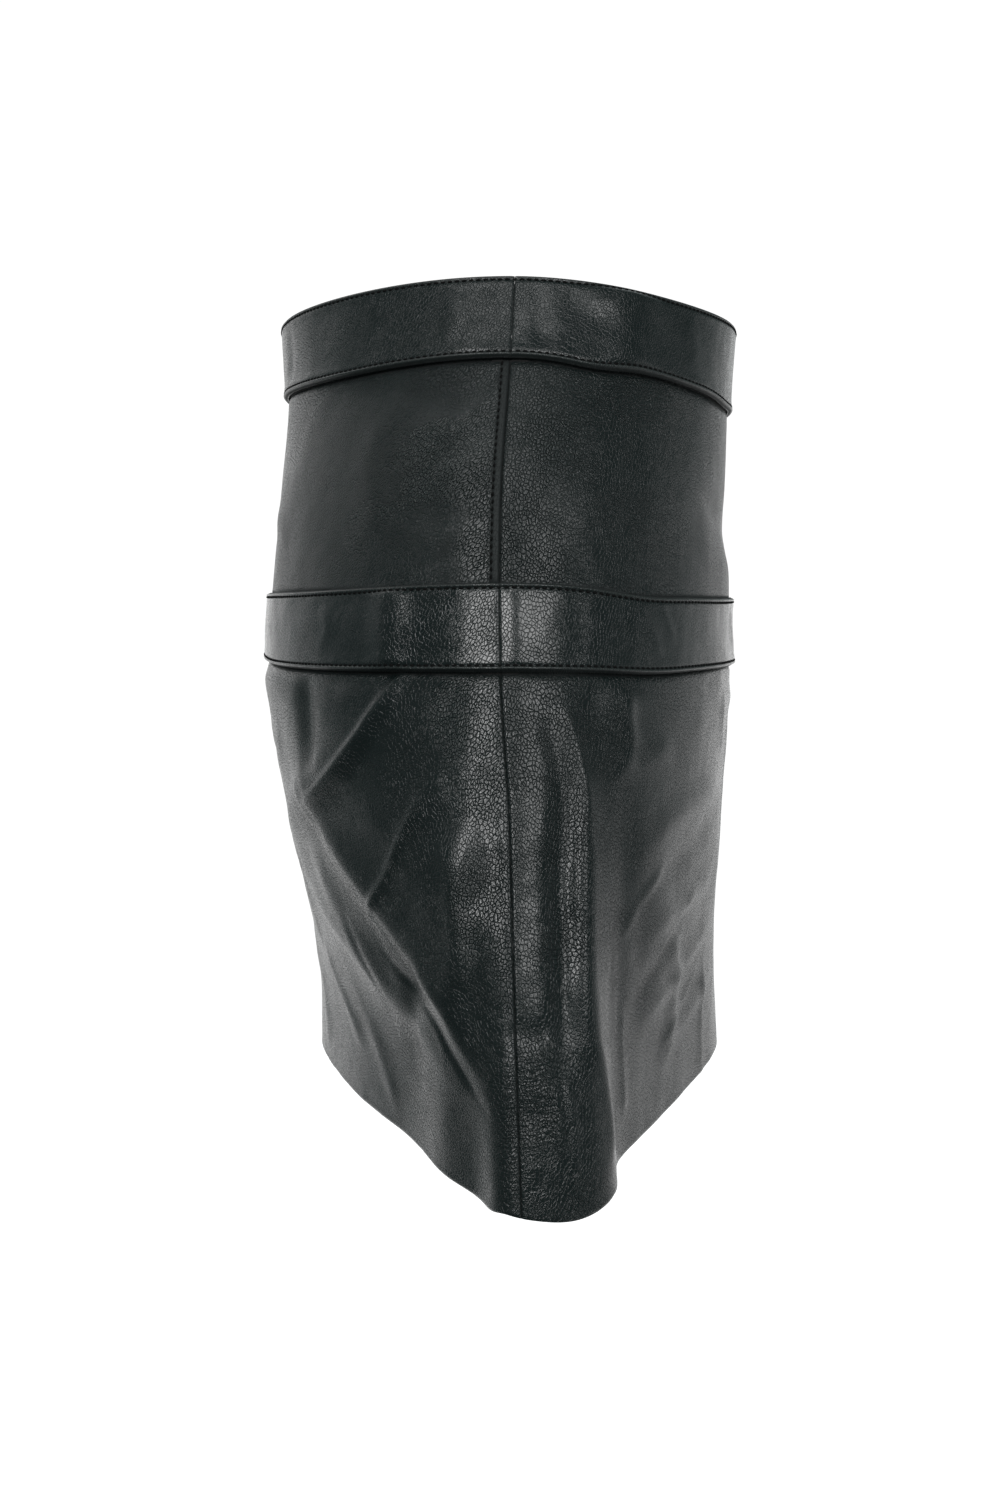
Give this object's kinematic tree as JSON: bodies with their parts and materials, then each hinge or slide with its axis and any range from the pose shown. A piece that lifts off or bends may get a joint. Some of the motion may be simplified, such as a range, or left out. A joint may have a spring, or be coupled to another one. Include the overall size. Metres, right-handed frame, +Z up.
{
  "type": "leather mini skirt",
  "caption": "Flared black leather mini skirt with a plain waistband, a yoke, an applied hip band and a concealed zip in the left side seam, worn open on a general figure.",
  "frame": {"origin": "centre of the waist opening at the middle of the waistband's height, where the wearer's waist holds the skirt up", "axes": "+Z up, -Y towards the front of the wearer, +X towards the wearer's left"},
  "size_m": [0.466, 0.2445, 0.3872],
  "materials": {
    "waistband_leather": "smooth black nappa, semi-gloss",
    "yoke_leather": "grained black nappa, soft gloss",
    "hip_band_leather": "smooth black nappa, semi-gloss",
    "skirt_leather": "grained black nappa with soft creases, semi-gloss",
    "zip_tape_cloth": "black woven tape",
    "zip_metal": "dark satin metal"
  },
  "bodies": {
    "garment": {"waistband_front": "waistband_leather", "waistband_back": "waistband_leather", "yoke_front": "yoke_leather", "yoke_back": "yoke_leather", "hip_band_front": "hip_band_leather", "hip_band_back": "hip_band_leather", "skirt_front": "skirt_leather", "skirt_back": "skirt_leather", "zip_tape": "zip_tape_cloth", "zip_slider": "zip_metal"},
    "pull_tab": {"zip_pull": "zip_metal"}
  },
  "joints": [
    {"name": "pull_tab_hinge", "type": "hinge", "parent": "garment", "child": "pull_tab", "pos_m": [0.12992, -0.00149, 0.00919], "axis": [-0.0138, -0.9999, 0], "range_deg": [0, 150]}
  ]
}
